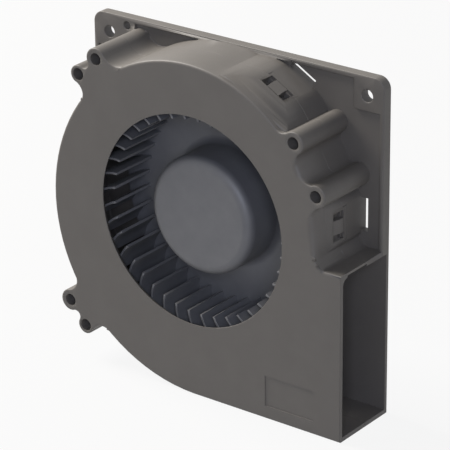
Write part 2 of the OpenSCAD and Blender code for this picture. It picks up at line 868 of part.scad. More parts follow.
// Compression spring between the bush and the front bearing's inner ring
module preload_spring() {
    coils = 2;
    per_coil = 24;
    sides = 8;
    coil_r = shaft_r + spring_gap + spring_wire_d / 2;
    wire_r = spring_wire_d / 2;
    rise = spring_h - spring_wire_d;
    steps = coils * per_coil;
    function centre_y(i) = y_bush_back + wire_r + rise * i / steps;
    rings = [
        for (i = [0:steps], j = [0:sides - 1])
            let (a = 360 * i / per_coil, b = 360 * j / sides, r = coil_r + wire_r * cos(b))
                [axis_x + r * cos(a), centre_y(i) + wire_r * sin(b), axis_z + r * sin(a)]
    ];
    skin = [
        for (i = [0:steps - 1], j = [0:sides - 1])
            let (k = (j + 1) % sides)
                [i * sides + j, i * sides + k, (i + 1) * sides + k, (i + 1) * sides + j]
    ];
    ends = [
        [for (j = [sides - 1:-1:0]) j],
        [for (j = [0:sides - 1]) steps * sides + j]
    ];
    color(steel_color)
        polyhedron(points = rings, faces = concat(skin, ends));
}

module bearing_tube() {
    bore_r = bearing_r + press_gap;
    shoulder_r = outer_ring_in_r + tube_shoulder;
    color(brass_color)
        difference() {
            ring(0, tube_r, y_tube_front, y_floor);
            ring(0, shoulder_r, y_tube_front - cut, y_floor + cut);
            ring(0, bore_r, y_tube_front - cut, y_front_bearing + bearing_w);
            ring(0, bore_r, y_rear_bearing, y_floor + cut);
        }
}

// Races of a ball bearing whose front face is at depth y
module inner_race(y) {
    color(steel_color)
        turned(small_fn)
            difference() {
                translate([shaft_r + press_gap, y])
                    square([inner_ring_r - shaft_r - press_gap, bearing_w]);
                translate([pitch_r, y + bearing_w / 2])
                    circle(groove_r, $fn = small_fn);
            }
}

module outer_race(y) {
    color(steel_color)
        turned(small_fn)
            difference() {
                translate([outer_ring_in_r, y])
                    square([bearing_r - outer_ring_in_r, bearing_w]);
                translate([pitch_r, y + bearing_w / 2])
                    circle(groove_r, $fn = small_fn);
                for (end = [y - cut, y + bearing_w - shield_t])
                    translate([outer_ring_in_r - cut, end])
                        square([shield_seat_r - outer_ring_in_r + cut, shield_t + cut]);
            }
}

module shield_pair(y) {
    color(steel_color)
        for (end = [y, y + bearing_w - shield_t])
            ring(shield_in_r, shield_seat_r - press_gap, end, end + shield_t, small_fn);
}

module at_balls(y) {
    translate([axis_x, y + bearing_w / 2, axis_z])
        for (i = [0:ball_count - 1])
            rotate([0, 360 * i / ball_count, 0])
                translate([pitch_r, 0, 0])
                    children();
}

module ball_set(y) {
    color(steel_color)
        at_balls(y)
            sphere(ball_r, $fn = small_fn);
}

module ball_cage(y) {
    mid = y + bearing_w / 2;
    color(brass_color)
        difference() {
            ring(
                pitch_r - cage_half_t, pitch_r + cage_half_t,
                mid - cage_half_w, mid + cage_half_w, small_fn
            );
            at_balls(y)
                rotate([0, 90, 0])
                    cylinder(r = groove_r, h = 2 * ball_d, center = true, $fn = small_fn);
        }
}

// Outline of the stator: a ring with four T-shaped poles. The insulators draw the heads' outer
// edge in by d and widen the necks by their lining.
module stator_outline(d = 0, lining = 0) {
    difference() {
        union() {
            circle(core_r, $fn = round_fn);
            for (i = [0:pole_count - 1])
                rotate(360 * i / pole_count) {
                    translate([core_in_r, -neck_w / 2 - lining])
                        square([head_in_r - core_in_r + pole_head_t / 2, neck_w + 2 * lining]);
                    intersection() {
                        difference() {
                            circle(stator_r - d, $fn = round_fn);
                            circle(head_in_r, $fn = round_fn);
                        }
                        polygon([
                            [0, 0],
                            2 * stator_r * [cos(pole_head_half), -sin(pole_head_half)],
                            2 * stator_r * [1, 0],
                            2 * stator_r * [cos(pole_head_half), sin(pole_head_half)]
                        ]);
                    }
                }
        }
        circle(core_in_r, $fn = round_fn);
    }
}

module stator_slab(y0, y1, d = 0, lining = 0) {
    translate([axis_x, 0, axis_z])
        slab(y0, y1)
            stator_outline(d, lining);
}

module stator_core() {
    color(lamination_color)
        stator_slab(y_stack_front, y_stack_back);
}

// Insulator on one end of the stack: its face lies between y0 and y1, its lining reaches to
// the middle of the stack, and its walls stand on the outer side
module insulator(y0, y1, y_wall) {
    stator_slab(y0, y1, insulator_edge, lining_t);
    lining_end = sqrt(pow(head_in_r, 2) - pow(neck_w / 2 + lining_t, 2)) - slip_gap;
    for (i = [0:pole_count - 1])
        for (t = [-neck_w / 2 - lining_t, neck_w / 2])
            facing_box(
                360 * i / pole_count, core_r, lining_end,
                t, t + lining_t, min(y0, y_stack_mid), max(y1, y_stack_mid)
            );
    ring(core_r - insulator_wall_t, core_r, min(y0, y_wall), max(y1, y_wall));
}

module front_insulator() {
    color(nylon_color)
        insulator(
            y_stack_front - insulator_t, y_stack_front,
            y_stack_front - insulator_t - insulator_wall_h
        );
}

module rear_insulator() {
    color(nylon_color) {
        insulator(
            y_stack_back, y_stack_back + insulator_t,
            y_stack_back + insulator_t + insulator_wall_h
        );
        at_posts(y_stack_back + insulator_t / 2)
            cylinder(r = post_r, h = y_board_front - y_stack_back - insulator_t / 2, $fn = small_fn);
    }
}

// The insulator's posts, between the poles, pointing back
module at_posts(y) {
    for (i = [0:pole_count - 1]) {
        p = polar(post_place_r, 45 + 360 * i / pole_count);
        translate([p[0], y, p[1]])
            rotate([-90, 0, 0])
                children();
    }
}

module terminal_pins() {
    color(brass_color)
        at_posts(y_board_front)
            cylinder(r = pin_r, h = board_t + pin_out, $fn = small_fn);
}

module rounded_bar(w, h, r) {
    square([w - 2 * r, h], center = true);
    square([w, h - 2 * r], center = true);
    for (x = [-w / 2 + r, w / 2 - r], y = [-h / 2 + r, h / 2 - r])
        translate([x, y])
            circle(r, $fn = small_fn);
}

// Winding round the neck of the pole that faces direction a
module coil(a) {
    hole_w = neck_w + 2 * lining_t;
    hole_h = stack_h + 2 * insulator_t;
    coil_start = core_r + coil_end_gap;
    coil_end = sqrt(pow(head_in_r, 2) - pow(hole_w / 2 + coil_w, 2)) - coil_end_gap;
    color(copper_color)
        translate([axis_x, y_stack_mid, axis_z])
            rotate([0, -a, 0])
                translate([coil_start, 0, 0])
                    rotate([0, 90, 0])
                        linear_extrude(coil_end - coil_start)
                            difference() {
                                rounded_bar(hole_w + 2 * coil_w, winding_h, coil_t);
                                square([hole_w + slip_gap, hole_h + slip_gap], center = true);
                            }
}

module circuit_board() {
    color(board_color)
        difference() {
            ring(board_in_r, board_d / 2, y_board_front, y_board_back);
            at_posts(y_board_front - cut)
                cylinder(r = pin_r + slip_gap, h = board_t + 2 * cut, $fn = small_fn);
        }
}

// A flat part on the board in direction a, on its front (side = -1) or its back (side = 1)
module chip(a, part, side) {
    r = part[0];
    half_w = part[1] / 2;
    half_l = part[2] / 2;
    h = part[3];
    y0 = side < 0 ? y_board_front - h : y_board_back;
    facing_box(a, r - half_w, r + half_w, -half_l, half_l, y0, y0 + h);
}

module hall_sensor() {
    color(chip_color)
        chip(45, HALL_SENSOR, -1);
}

module driver_chip() {
    color(chip_color)
        chip(135, DRIVER_CHIP, -1);
}

module smoothing_capacitor() {
    color(tantalum_color)
        chip(225, CAPACITOR, -1);
}

module chip_resistors() {
    color(chip_color)
        for (a = RESISTOR_DIRECTIONS)
            chip(a, RESISTOR, 1);
}

module rear_label() {
    color(label_color)
        difference() {
            ring(0, label_d / 2 - label_edge, y_back - label_recess, y_back - label_recess + label_t);
            lead_exit();
        }
}

rear_housing();
front_cover();
bearing_tube();
outer_race(y_front_bearing);  // front_bearing_outer_ring
outer_race(y_rear_bearing);  // rear_bearing_outer_ring
shield_pair(y_front_bearing);  // front_bearing_shields
shield_pair(y_rear_bearing);  // rear_bearing_shields
stator_core();
front_insulator();
rear_insulator();
coil(0);  // coil_right
coil(90);  // coil_top
coil(180);  // coil_left
coil(270);  // coil_bottom
terminal_pins();
circuit_board();
hall_sensor();
driver_chip();
smoothing_capacitor();
chip_resistors();
rear_label();
impeller();
rotor_yoke();
magnet_ring();
shaft();
shaft_bush();
inner_race(y_front_bearing);  // front_bearing_inner_ring
inner_race(y_rear_bearing);  // rear_bearing_inner_ring
preload_spring();
thrust_washer();
retaining_clip();
ball_set(y_front_bearing);  // front_bearing_balls
ball_cage(y_front_bearing);  // front_bearing_cage
ball_set(y_rear_bearing);  // rear_bearing_balls
ball_cage(y_rear_bearing);  // rear_bearing_cage
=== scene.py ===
import math

import bmesh
import bpy
from mathutils import Matrix, Vector, geometry


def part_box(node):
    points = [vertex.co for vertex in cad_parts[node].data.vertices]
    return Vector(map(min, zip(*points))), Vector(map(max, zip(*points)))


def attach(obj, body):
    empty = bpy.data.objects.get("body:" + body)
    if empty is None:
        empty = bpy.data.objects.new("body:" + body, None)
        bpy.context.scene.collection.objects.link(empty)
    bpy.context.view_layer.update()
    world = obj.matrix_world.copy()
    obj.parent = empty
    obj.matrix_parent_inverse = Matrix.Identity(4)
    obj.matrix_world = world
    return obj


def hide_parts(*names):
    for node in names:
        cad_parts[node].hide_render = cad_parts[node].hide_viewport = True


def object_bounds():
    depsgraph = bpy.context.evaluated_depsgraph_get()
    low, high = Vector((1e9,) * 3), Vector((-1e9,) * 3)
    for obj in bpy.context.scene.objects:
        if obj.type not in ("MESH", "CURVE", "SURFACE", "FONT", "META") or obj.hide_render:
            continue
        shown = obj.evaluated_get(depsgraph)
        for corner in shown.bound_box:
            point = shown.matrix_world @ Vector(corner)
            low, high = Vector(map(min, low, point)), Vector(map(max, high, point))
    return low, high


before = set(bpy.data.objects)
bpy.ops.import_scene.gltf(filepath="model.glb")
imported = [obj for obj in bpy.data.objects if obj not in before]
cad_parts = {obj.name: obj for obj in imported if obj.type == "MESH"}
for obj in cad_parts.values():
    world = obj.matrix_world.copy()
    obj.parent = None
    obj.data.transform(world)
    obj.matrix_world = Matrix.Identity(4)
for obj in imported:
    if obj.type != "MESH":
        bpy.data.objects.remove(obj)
cad_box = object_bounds()
bpy.ops.object.select_all(action="DESELECT")
MM = 0.001

# Camera: it stands well in front of the inlet face, towards the outlet's side and above. A long
# lens takes the whole blower in with little perspective.
camera = bpy.data.objects.new("photo_camera", bpy.data.cameras.new("photo_camera"))
bpy.context.scene.collection.objects.link(camera)
bpy.context.scene.camera = camera
camera.data.sensor_width = 36
camera.data.lens = 218.387
camera.data.clip_start = 0.05
camera.data.clip_end = 20
camera.location = (0.513149, -0.666611, 0.425581)
camera.rotation_euler = [math.radians(turn) for turn in (66.4096, 0.6203, 37.1508)]


# Rear housing: the square mounting plate and the rear half of the scroll, moulded in one piece
# of glass-filled PBT. It carries the motor and is bolted to a machine by the plate's holes. The
# mould leaves a small radius on each edge.
def linear(code):
    """An sRGB hex colour as linear red, green, blue and alpha."""
    channels = [int(code[i:i + 2], 16) / 255 for i in (1, 3, 5)]
    return [c / 12.92 if c <= 0.04045 else ((c + 0.055) / 1.055) ** 2.4 for c in channels] + [1]


def add(tree, kind, options=(), **inputs):
    """Adds a shader node and returns its outputs.

    options are its own settings. An input is a value or a socket, by its name, or by its
    number after an underscore.
    """
    made = tree.nodes.new("ShaderNode" + kind)
    for name, value in dict(options).items():
        setattr(made, name, value)
    for name, value in inputs.items():
        number = name[1:]
        socket = made.inputs[int(number) if number.isdigit() else name.replace("_", " ")]
        if isinstance(value, bpy.types.NodeSocket):
            tree.links.new(value, socket)
        else:
            socket.default_value = value
    return made.outputs


def new_finish(name):
    """An empty material, its node tree and the place on the object in metres."""
    made = bpy.data.materials.new(name)
    made.use_nodes = True
    made.node_tree.nodes.clear()
    return made, made.node_tree, add(made.node_tree, "TexCoord")["Object"]


def finish_surface(tree, **inputs):
    """Ends a material with its surface shader."""
    shader = add(tree, "BsdfPrincipled", **inputs)
    add(tree, "OutputMaterial", Surface=shader[0])


def moulded(name, light, dark, rough, grain, depth):
    """Moulded plastic: slightly cloudy in colour, with the eroded mould's grain on its skin.

    grain and depth are the grain's width and height in mm.
    """
    made, tree, place = new_finish(name)
    cloud = 9 * MM
    clouds = add(tree, "TexNoise", Vector=place, Scale=1 / cloud, Detail=3.0, Roughness=0.55)
    colour = add(tree, "ValToRGB", Fac=clouds[0])
    ramp = tree.nodes[-1].color_ramp
    ramp.elements[0].position = 0.35
    ramp.elements[0].color = linear(dark)
    ramp.elements[1].position = 0.65
    ramp.elements[1].color = linear(light)
    skin = add(tree, "TexNoise", Vector=place, Scale=1 / (grain * MM), Detail=2.0, Roughness=0.6)
    sheen = add(
        tree, "MapRange", Value=skin[0],
        From_Min=0.3, From_Max=0.7, To_Min=rough - 0.05, To_Max=rough + 0.05
    )
    relief = add(tree, "Bump", Height=skin[0], Strength=0.35, Distance=depth * MM)
    finish_surface(
        tree, Base_Color=colour[0], Roughness=sheen[0], Normal=relief[0], IOR=1.55
    )
    return made


def fused_copy(node, name):
    """A new object with a CAD node's mesh, its triangles joined into whole faces."""
    closest = 0.08 * MM
    flattest = math.radians(0.4)
    copy = bpy.data.objects.new(name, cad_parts[node].data.copy())
    bpy.context.scene.collection.objects.link(copy)
    bpy.context.view_layer.objects.active = copy
    copy.select_set(True)
    bpy.ops.object.mode_set(mode="EDIT")
    bpy.ops.mesh.select_all(action="SELECT")
    bpy.ops.mesh.remove_doubles(threshold=closest)
    bpy.ops.mesh.dissolve_limited(angle_limit=flattest)
    bpy.ops.object.mode_set(mode="OBJECT")
    copy.select_set(False)
    return copy


def round_contour(piece, level, into, depths, radius):
    """Rounds the edges round a piece's flat face at a level of y.

    into is the way from that face into the piece, 1 or -1 along y. The walls are cut into rings
    at the depths, and each ring is drawn in as far as a quarter circle asks. radius gives the
    radius in mm from an edge's middle and its wall's outward normal. The flat face is then
    filled again inside its new sides.
    """
    touching = 0.01
    nearly_parallel = 0.08
    least_side = 0.25
    bpy.context.view_layer.objects.active = piece
    piece.select_set(True)
    bpy.ops.object.mode_set(mode="EDIT")
    for depth in depths:
        bpy.ops.mesh.select_all(action="SELECT")
        bpy.ops.mesh.bisect(plane_co=(0, (level + into * depth) * MM, 0), plane_no=(0, 1, 0))
    bpy.ops.object.mode_set(mode="OBJECT")
    piece.select_set(False)
    mesh = bmesh.new()
    mesh.from_mesh(piece.data)

    def depth_of(vertex):
        return (vertex.co.y / MM - level) * into

    def spot(vertex):
        """A point's place in the plane of the face, in whole steps, so that places compare."""
        return round(vertex.co.x / (touching * MM)), round(vertex.co.z / (touching * MM))

    walls, contour = {}, []
    for edge in mesh.edges:
        if max(abs(depth_of(v)) for v in edge.verts) > touching or not edge.is_convex:
            continue
        flat = [f for f in edge.link_faces if f.normal.y * into < -0.99]
        wall = [f for f in edge.link_faces if abs(f.normal.y) < 0.3]
        if flat and wall:
            middle = (edge.verts[0].co + edge.verts[1].co) / 2 / MM
            r = radius(middle, wall[0].normal)
            contour.append([spot(v) for v in edge.verts])
            for place in contour[-1]:
                walls.setdefault(place, []).append((wall[0].normal.xz, r))

    def drawn_in(found, depth):
        """The way in from a place where one or two walls meet, so that each wall moves its own."""
        pulls = []
        for normal, r in found[:2]:
            pulls.append((normal, r - math.sqrt(r * r - (r - depth) ** 2) if depth < r else 0))
        (n, d), (m, e) = pulls[0], pulls[-1]
        area = n.cross(m)
        if abs(area) < nearly_parallel:
            return -(n + m) / 2 * (d + e) / 2
        return Vector((e * n.y - d * m.y, d * m.x - e * n.x)) / area

    def pulls_at(depth):
        """How far each place on the contour moves. No side of the contour turns round."""
        pulls = {place: drawn_in(found, depth) for place, found in walls.items()}
        for _ in range(6):
            for a, b in contour:
                side = (Vector(b) - Vector(a)) * touching
                if (side + pulls[b] - pulls[a]).dot(side) < least_side * side.dot(side):
                    pulls[a] = pulls[b] = (pulls[a] + pulls[b]) / 2
        return pulls

    pulls = {}
    for vertex in mesh.verts:
        depth = round(depth_of(vertex), 2)
        place = spot(vertex)
        if place in walls and 0 <= depth <= depths[-1]:
            if depth not in pulls:
                pulls[depth] = pulls_at(depth)
            pull = pulls[depth][place]
            vertex.co += Vector((pull.x, 0, pull.y)) * MM

    flat = {f for f in mesh.faces if max(abs(depth_of(v)) for v in f.verts) < touching}
    rim = [e for e in mesh.edges if sum(f in flat for f in e.link_faces) == 1]
    bmesh.ops.delete(mesh, geom=list(flat), context="FACES_KEEP_BOUNDARY")
    corners = list(dict.fromkeys(v for e in rim for v in e.verts))
    number = {vertex: i for i, vertex in enumerate(corners)}
    points = [Vector((v.co.x / MM, v.co.z / MM)) for v in corners]
    sides = [(number[e.verts[0]], number[e.verts[1]]) for e in rim]
    spots, _, triangles, origins, _, _ = geometry.delaunay_2d_cdt(points, sides, [], 0, 1e-6)
    meeting = [
        corners[origin[0]] if origin else mesh.verts.new((spot.x * MM, level * MM, spot.y * MM))
        for spot, origin in zip(spots, origins)
    ]
    ends = [(points[i], points[j]) for i, j in sides]
    for triangle in triangles:
        centre = sum((spots[i] for i in triangle), Vector((0, 0))) / 3
        crossed = sum(
            (p.y > centre.y) != (q.y > centre.y)
            and centre.x < p.x + (q.x - p.x) * (centre.y - p.y) / (q.y - p.y)
            for p, q in ends
        )
        if crossed % 2:
            used = [meeting[i] for i in triangle]
            mesh.faces.new(reversed(used) if into < 0 else used)
    bmesh.ops.holes_fill(mesh, edges=mesh.edges[:], sides=6)
    mesh.to_mesh(piece.data)
    mesh.free()


def stay_inside(piece, node):
    """Puts each point that a rounding has pushed out back on the solid's box."""
    low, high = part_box(node)
    for vertex in piece.data.vertices:
        vertex.co = [min(max(c, a), b) for c, a, b in zip(vertex.co, low, high)]


def smooth(piece):
    """Smooth shading that keeps the large flat faces flat and the sharp edges sharp."""
    sharp = math.radians(35)
    bpy.context.view_layer.objects.active = piece
    piece.select_set(True)
    bpy.ops.object.shade_smooth_by_angle(angle=sharp)
    weighted = piece.modifiers.new("flat faces", "WEIGHTED_NORMAL")
    weighted.keep_sharp = True
    bpy.ops.object.modifier_apply(modifier=weighted.name)
    piece.select_set(False)


def finish_piece(piece, body, slot, finish, *nodes):
    """Gives a piece its material and its body, and hides the CAD nodes that it stands for. slot is
    not used.
    """
    piece.data.materials.clear()
    piece.data.materials.append(finish)
    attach(piece, body)
    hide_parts(*nodes)


def faces_right(normal):
    """Says whether a wall looks out of the outlet."""
    return normal.x > 0.9


def seam_radius(middle, normal):
    """The seam's small radius. The outlet's end stays sharp."""
    return 0 if faces_right(normal) else seam_r


def plate_radius(middle, normal):
    """The plate's radius, the same all round."""
    return plate_r


# The eye gets a warm dark grey, dull from the mould's eroded skin. The real grain is about
# 0.1 mm and is drawn coarser, so that it shows.
pbt = moulded("moulded glass-filled PBT", "#605c57", "#5d5954", 0.56, 0.35, 0.03)
seam_y = 0
back_y = round(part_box("rear_housing")[1].y / MM, 3)
plate_t = 4
plate_y = back_y - plate_t
seam_r = 0.14
plate_r = 0.3
seam_rings = (0.05, seam_r)
housing = fused_copy("rear_housing", "rear_housing_shell")
round_contour(housing, seam_y, 1, seam_rings, seam_radius)
round_contour(housing, plate_y, 1, (0.05, 0.15, plate_r), plate_radius)
round_contour(housing, back_y, -1, (0.05, plate_r), plate_radius)
stay_inside(housing, "rear_housing")
smooth(housing)
finish_piece(housing, "housing", "housing_plastic", pbt, "rear_housing")

# Front cover: the flat face with the round inlet and the front half of the scroll, moulded in the
# same PBT. Catches and screws through the bosses hold it to the rear housing. Its outer edges are
# softly rounded, and the inlet's lip is thin.
magnet_low, magnet_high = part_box("magnet_ring")
axis = (magnet_low + magnet_high) / 2 / MM
cover_low, cover_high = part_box("front_cover")
front_y = round(cover_low.y / MM, 3)
outlet_end_x = cover_high.x / MM - 0.1
inlet_r = 37.5
inlet_reach = inlet_r + 0.5
lip_r = 0.2
lip_t = 0.3
lip_flare = 0.74
hole_edge_r = 0.2
hole_inside = -1
face_r = 0.35
scroll_r = 1
shoulder_r = 3.2
shoulder_start = (-4, 8)
shoulder_end = (42, 50)
inner_wall_r = 49.5
tongue_z = 17
panel_r = 0.05
panel_x = (20, 55)
panel_z = (3, 17)
bosses = (
    (-39.76, 113.17, 3.9), (-47.55, 106.26, 3.2), (41.28, 101.93, 3.9),
    (50.1, 85.57, 3.9), (-54.52, 20.85, 3.9), (-47.9, 12.99, 3.2),
)


def share(value, start, end):
    """How far a value has come from start to end, eased from 0 to 1."""
    t = min(max((value - start) / (end - start), 0), 1)
    return t * t * (3 - 2 * t)


def boss_gap(place):
    """The distance in mm from the nearest boss, each given by its x, z and radius."""
    return min(math.hypot(place.x - x, place.z - z) - r for x, z, r in bosses)


def from_axis(place):
    """The way from the wheel's axis straight out to a place."""
    return Vector((place.x - axis.x, 0, place.z - axis.z))


def cover_radius(middle, normal):
    """The front edges: sharp at the outlet, small at holes and bosses, wide on the scroll.

    They are widest on the shoulder above the outlet, which starts and ends at angles in degrees
    round the wheel's axis.
    """
    out = from_axis(middle)
    distance = out.length
    angle = math.degrees(math.atan2(out.z, out.x))
    if faces_right(normal) and middle.x > outlet_end_x:
        return 0
    if distance < inlet_reach:
        return lip_r
    gap = boss_gap(middle)
    if gap < hole_inside:
        return hole_edge_r
    on_panel = panel_x[0] < middle.x < panel_x[1] and panel_z[0] < middle.z < panel_z[1]
    if distance < inner_wall_r and middle.z > tongue_z or on_panel:
        return panel_r
    on_shoulder = share(angle, *shoulder_start) * (1 - share(angle, *shoulder_end))
    wide = scroll_r + (shoulder_r - scroll_r) * on_shoulder
    return face_r + (wide - face_r) * share(gap, 0, 5)


def soften_slopes(piece, reach, start, end):
    """Averages the shading over a reach in mm, outside on the walls between two depths."""
    mesh = piece.data
    leaning_out = 0.4
    edge_blend = 0.6
    boss_blend = (1, 3.5)

    def outward(face):
        return face.normal.dot(from_axis(face.center / MM).normalized()) > leaning_out

    def depth_of(place):
        return place.y - front_y

    def softness(place):
        """Full on the slopes, and none near the edges and the bosses."""
        depth = depth_of(place)
        below_edge = share(depth, start, start + edge_blend)
        above_end = 1 - share(depth, end / 2, end)
        return below_edge * above_end * share(boss_gap(place), *boss_blend)

    walls = [f for f in mesh.polygons if outward(f) and depth_of(f.center / MM) < end + reach]
    facets = [(face.center / MM, face.normal * face.area) for face in walls]
    normals = [corner.vector.copy() for corner in mesh.corner_normals]
    averages = {}
    for face in walls:
        for corner in face.loop_indices:
            point = mesh.loops[corner].vertex_index
            place = mesh.vertices[point].co / MM
            soft = softness(place)
            if soft == 0:
                continue
            if point not in averages:
                near = [(1 - (centre - place).length / reach, pull) for centre, pull in facets]
                total = sum((pull * part for part, pull in near if part > 0), Vector())
                averages[point] = total.normalized()
            if averages[point].length:
                normals[corner] = normals[corner].lerp(averages[point], soft).normalized()
    mesh.normals_split_custom_set(normals)


slope_reach = 4
slope_start = 0.4
slope_end = 7.5
cover = fused_copy("front_cover", "front_cover_shell")
cover_rings = (0.05, 0.15, face_r, 0.6, scroll_r, 1.6, 2.3, shoulder_r)
round_contour(cover, front_y, 1, cover_rings, cover_radius)
round_contour(cover, seam_y, -1, seam_rings, seam_radius)
for vertex in cover.data.vertices:
    out = from_axis(vertex.co / MM)
    behind_lip = vertex.co.y / MM - front_y - lip_t
    if out.length < inlet_reach and behind_lip > 0:
        vertex.co += out.normalized() * behind_lip * lip_flare * MM
stay_inside(cover, "front_cover")
smooth(cover)
soften_slopes(cover, slope_reach, slope_start, slope_end)
finish_piece(cover, "housing", "housing_plastic", pbt, "front_cover")

# Impeller: hub cap, back disc and forward-curved blades, moulded in one piece of PBT and pressed
# on the rotor. The mould leaves small radii at the blades' ends.
def blade_end_radius(middle, normal):
    """The radius at the blades' ends, the same on all."""
    return blade_end_r


# The eye gets a neutral, cooler grey than the housing's, a little smoother. Its grain is drawn
# coarser than the real tenth of a millimetre, so that it shows.
wheel_plastic = moulded("moulded PBT of the wheel", "#6b6b6c", "#646466", 0.5, 0.3, 0.02)
wheel_front_y = round(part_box("impeller")[0].y / MM, 3)
blade_end_r = 0.15
wheel = fused_copy("impeller", "blade_wheel")
round_contour(wheel, wheel_front_y, 1, (0.04, blade_end_r), blade_end_radius)
smooth(wheel)
finish_piece(wheel, "rotor", "wheel_plastic", wheel_plastic, "impeller")

# Rotor yoke and retaining clip: the cup is deep-drawn from mild steel and zinc plated, and sits
# in the hub. The clip is stamped from spring steel and snaps into the shaft's groove. Die and
# rolls leave fine lines in the bluish silver, drawn coarser here than they are.
def dress(finish, *nodes):
    """Puts a material on CAD nodes whose shape is right as it is."""
    for node in nodes:
        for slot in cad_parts[node].material_slots:
            slot.material = finish


def turned(name, colour, rough, line):
    """Metal with fine lines round the motor's axis, where a tool or a wheel went round.

    line is the lines' spacing in mm.
    """
    made, tree, place = new_finish(name)
    centred = add(tree, "VectorMath", {"operation": "SUBTRACT"}, _0=place, _1=axis * MM)
    sideways = add(tree, "VectorMath", {"operation": "MULTIPLY"}, _0=centred[0], _1=(1, 0, 1))
    radius = add(tree, "VectorMath", {"operation": "LENGTH"}, _0=sideways[0])
    parts = add(tree, "SeparateXYZ", Vector=centred[0])
    across = add(tree, "CombineXYZ", X=radius["Value"], Y=parts["Y"])
    spacing = line * MM
    lines = add(tree, "TexNoise", Vector=across[0], Scale=1 / spacing, Detail=2.0, Roughness=0.5)
    sheen = add(
        tree, "MapRange", Value=lines[0],
        From_Min=0.3, From_Max=0.7, To_Min=rough - 0.06, To_Max=rough + 0.06
    )
    relief = add(tree, "Bump", Height=lines[0], Strength=0.2, Distance=0.01 * MM)
    finish_surface(
        tree, Base_Color=linear(colour), Metallic=1.0, Roughness=sheen[0], Normal=relief[0]
    )
    return made


zinc = turned("zinc-plated steel", "#c3c6ca", 0.34, 0.3)
dress(zinc, "rotor_yoke", "retaining_clip")

# Magnet ring: ferrite powder bonded in plastic, pressed, and glued into the yoke. It is charcoal
# grey and dull, with a slightly gritty skin, whose grit is drawn coarser than it is.
ferrite = moulded("bonded ferrite", "#403e3c", "#353432", 0.62, 0.2, 0.02)
dress(ferrite, "magnet_ring")

# Shaft and ball bearings: bearing steel, ground and polished, the bearings pressed into their
# tube. The rings show faint grinding lines, drawn coarser than they are, the pressed shields a
# duller skin, and the balls are like mirrors.
ground_steel = turned("ground bearing steel", "#cfd0d2", 0.16, 0.12)
shield_steel = turned("pressed stainless steel", "#bcbdbd", 0.3, 0.2)
dress(
    ground_steel, "shaft", "front_bearing_inner_ring", "rear_bearing_inner_ring",
    "front_bearing_outer_ring", "rear_bearing_outer_ring"
)
dress(shield_steel, "front_bearing_shields", "rear_bearing_shields")
ball_steel, tree, place = new_finish("lapped bearing steel")
haze_w = 0.6 * MM
haze = add(tree, "TexNoise", Vector=place, Scale=1 / haze_w, Detail=3.0)
gloss = add(tree, "MapRange", Value=haze[0], To_Min=0.03, To_Max=0.1)
finish_surface(tree, Base_Color=linear("#d6d7d9"), Metallic=1.0, Roughness=gloss[0])
dress(ball_steel, "front_bearing_balls", "rear_bearing_balls")

# Ball cages and thrust washer: the cages are moulded from nylon and hold the balls apart, and the
# washer is punched from the same plastic. It is creamy, with a soft sheen.
nylon = moulded("natural nylon", "#e2dccb", "#d9d2bf", 0.42, 0.5, 0.01)
dress(nylon, "front_bearing_cage", "rear_bearing_cage", "thrust_washer")

# Bearing tube and shaft bush: free-cutting brass, turned on a lathe and pressed in. It is left
# bare, so it is yellow, with a fine spiral of tool marks drawn coarser than it is.
brass = turned("turned brass", "#d9b467", 0.24, 0.14)
dress(brass, "bearing_tube", "shaft_bush")

# Preload spring: hard-drawn spring steel wire, wound in two open turns between the bush and the
# front bearing. Drawing leaves it bright and a little streaky.
spring_low, spring_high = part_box("preload_spring")
wire_r = 0.175
spring_turns = 2
spring_r = (spring_high.x - spring_low.x) / 2 / MM - wire_r
spring_rise = (spring_high.y - spring_low.y) / MM - 2 * wire_r
wire_sides = 12
spring_steps = 40
bpy.ops.mesh.primitive_circle_add(
    vertices=wire_sides, radius=wire_r * MM, fill_type="NOTHING", rotation=(math.radians(90), 0, 0)
)
spring = bpy.context.object
spring.name = "spring_wire"
bpy.ops.object.transform_apply(location=False, rotation=True, scale=False)
bpy.ops.object.mode_set(mode="EDIT")
bpy.ops.transform.translate(value=(spring_r * MM, 0, 0))
bpy.ops.object.mode_set(mode="OBJECT")
winding = spring.modifiers.new("winding", "SCREW")
winding.axis = "Z"
winding.angle = 2 * math.pi * spring_turns
winding.screw_offset = spring_rise * MM
winding.steps = winding.render_steps = spring_steps * spring_turns
bpy.ops.object.modifier_apply(modifier=winding.name)
bpy.ops.object.mode_set(mode="EDIT")
bpy.ops.mesh.select_all(action="DESELECT")
bpy.ops.mesh.select_non_manifold()
bpy.ops.mesh.fill()
bpy.ops.mesh.select_all(action="SELECT")
bpy.ops.mesh.normals_make_consistent(inside=False)
bpy.ops.object.mode_set(mode="OBJECT")
spring_start = Vector((axis.x, spring_low.y / MM + wire_r, axis.z)) * MM
along_axis = Matrix.Rotation(math.radians(-90), 4, "X")
spring.data.transform(Matrix.Translation(spring_start) @ along_axis)
spring.select_set(False)
drawn_steel, tree, place = new_finish("hard-drawn spring steel")
streak_w = 0.15 * MM
streaks = add(tree, "TexNoise", Vector=place, Scale=1 / streak_w, Detail=2.0)
gloss = add(tree, "MapRange", Value=streaks[0], To_Min=0.18, To_Max=0.34)
finish_surface(tree, Base_Color=linear("#b9bcbf"), Metallic=1.0, Roughness=gloss[0])
smooth(spring)
finish_piece(spring, "rotor", "steel", drawn_steel, "preload_spring")

